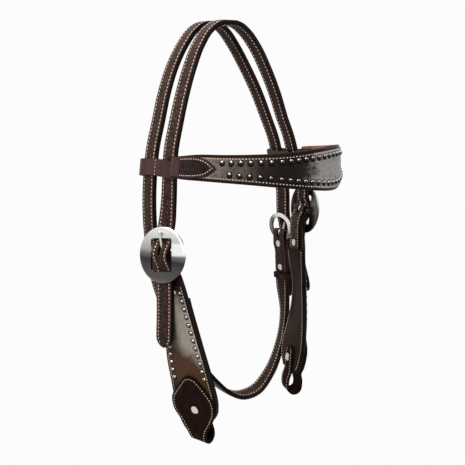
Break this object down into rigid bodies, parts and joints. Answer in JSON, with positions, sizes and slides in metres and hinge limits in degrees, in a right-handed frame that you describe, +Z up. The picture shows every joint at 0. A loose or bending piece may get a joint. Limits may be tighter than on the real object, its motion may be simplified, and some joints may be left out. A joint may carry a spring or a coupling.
{
  "type": "western headstall",
  "caption": "Western browband headstall with stitched straps, hair-on browband and cheek pieces, round cart buckles, screw-closed bit loops and a buckled throatlatch.",
  "frame": {"origin": "under the middle of the crown strap, where it rests on the poll", "axes": "+Z up, -Y towards the forehead, +X towards the horse's left"},
  "size_m": [0.2141, 0.1887, 0.4464],
  "materials": {
    "strap_leather": "oiled, smooth, dark edges",
    "lining_leather": "smooth lining",
    "hair_on_hide": "short glossy hair",
    "tan_lining": "rough natural tan",
    "dark_tab_leather": "dark rough-out",
    "brushed_steel": "satin",
    "nickel": "polished"
  },
  "bodies": {
    "straps": {"crown_strap_outer": "strap_leather", "crown_strap_lining": "lining_leather", "throat_strap_outer": "strap_leather", "throat_strap_lining": "lining_leather", "near_disc_buckle": "brushed_steel", "far_disc_buckle": "brushed_steel", "ring_buckle": "brushed_steel", "throat_1_post": "nickel", "throat_1_screw": "nickel", "throat_2_post": "nickel", "throat_2_screw": "nickel"},
    "browband": {"browband_base": "strap_leather", "browband_hide": "hair_on_hide", "browband_lining": "tan_lining", "near_browband_loop": "strap_leather", "far_browband_loop": "strap_leather"},
    "near_cheek": {"near_cheek_base": "strap_leather", "near_cheek_hide": "hair_on_hide", "near_cheek_lining": "lining_leather", "near_bit_loop": "dark_tab_leather", "near_bit_post": "nickel", "near_chape_post": "nickel", "near_chape_screw": "nickel"},
    "far_cheek": {"far_cheek_base": "strap_leather", "far_cheek_hide": "hair_on_hide", "far_cheek_lining": "lining_leather", "far_bit_loop": "dark_tab_leather", "far_bit_post": "nickel", "far_chape_post": "nickel", "far_chape_screw": "nickel"},
    "near_bit_fastener": {"near_bit_screw": "nickel"},
    "far_bit_fastener": {"far_bit_screw": "nickel"},
    "near_tongue": {"near_prong": "nickel"},
    "far_tongue": {"far_prong": "nickel"},
    "ring_tongue": {"ring_prong": "nickel"},
    "strap_keeper": {"keeper": "strap_leather"}
  },
  "joints": [
    {"name": "browband_slide", "type": "slide", "parent": "straps", "child": "browband", "axis": [0, 0, 1], "range_m": [-0.003, 0.003]},
    {"name": "near_cheek_swing", "type": "hinge", "parent": "straps", "child": "near_cheek", "pos_m": [-0.08934, -0.01947, -0.22827], "axis": [0.4096, -0.9044, 0.1195], "range_deg": [0, 7]},
    {"name": "far_cheek_swing", "type": "hinge", "parent": "straps", "child": "far_cheek", "pos_m": [0.09276, -0.01837, -0.20069], "axis": [0.1415, 0.9893, 0.0348], "range_deg": [0, 10]},
    {"name": "near_bit_screw_turn", "type": "hinge", "parent": "near_cheek", "child": "near_bit_fastener", "pos_m": [-0.06083, -0.03359, -0.39967], "axis": [-0.9057, -0.4033, -0.1305], "continuous": true},
    {"name": "far_bit_screw_turn", "type": "hinge", "parent": "far_cheek", "child": "far_bit_fastener", "pos_m": [0.06824, -0.03678, -0.37245], "axis": [0.9437, -0.2866, -0.1653], "continuous": true},
    {"name": "near_prong_lift", "type": "hinge", "parent": "straps", "child": "near_tongue", "pos_m": [-0.08934, -0.01947, -0.22827], "axis": [0.4096, -0.9044, 0.1195], "range_deg": [0, 25]},
    {"name": "far_prong_lift", "type": "hinge", "parent": "straps", "child": "far_tongue", "pos_m": [0.09276, -0.01837, -0.20069], "axis": [0.1415, 0.9893, 0.0348], "range_deg": [0, 25]},
    {"name": "ring_prong_lift", "type": "hinge", "parent": "straps", "child": "ring_tongue", "pos_m": [0.08797, 0.0131, -0.23449], "axis": [-0.0688, 0.9975, -0.0174], "range_deg": [0, 20]},
    {"name": "keeper_slide", "type": "slide", "parent": "straps", "child": "strap_keeper", "axis": [0.0534, -0.0138, -0.9985], "range_m": [-0.003, 0.008]}
  ]
}
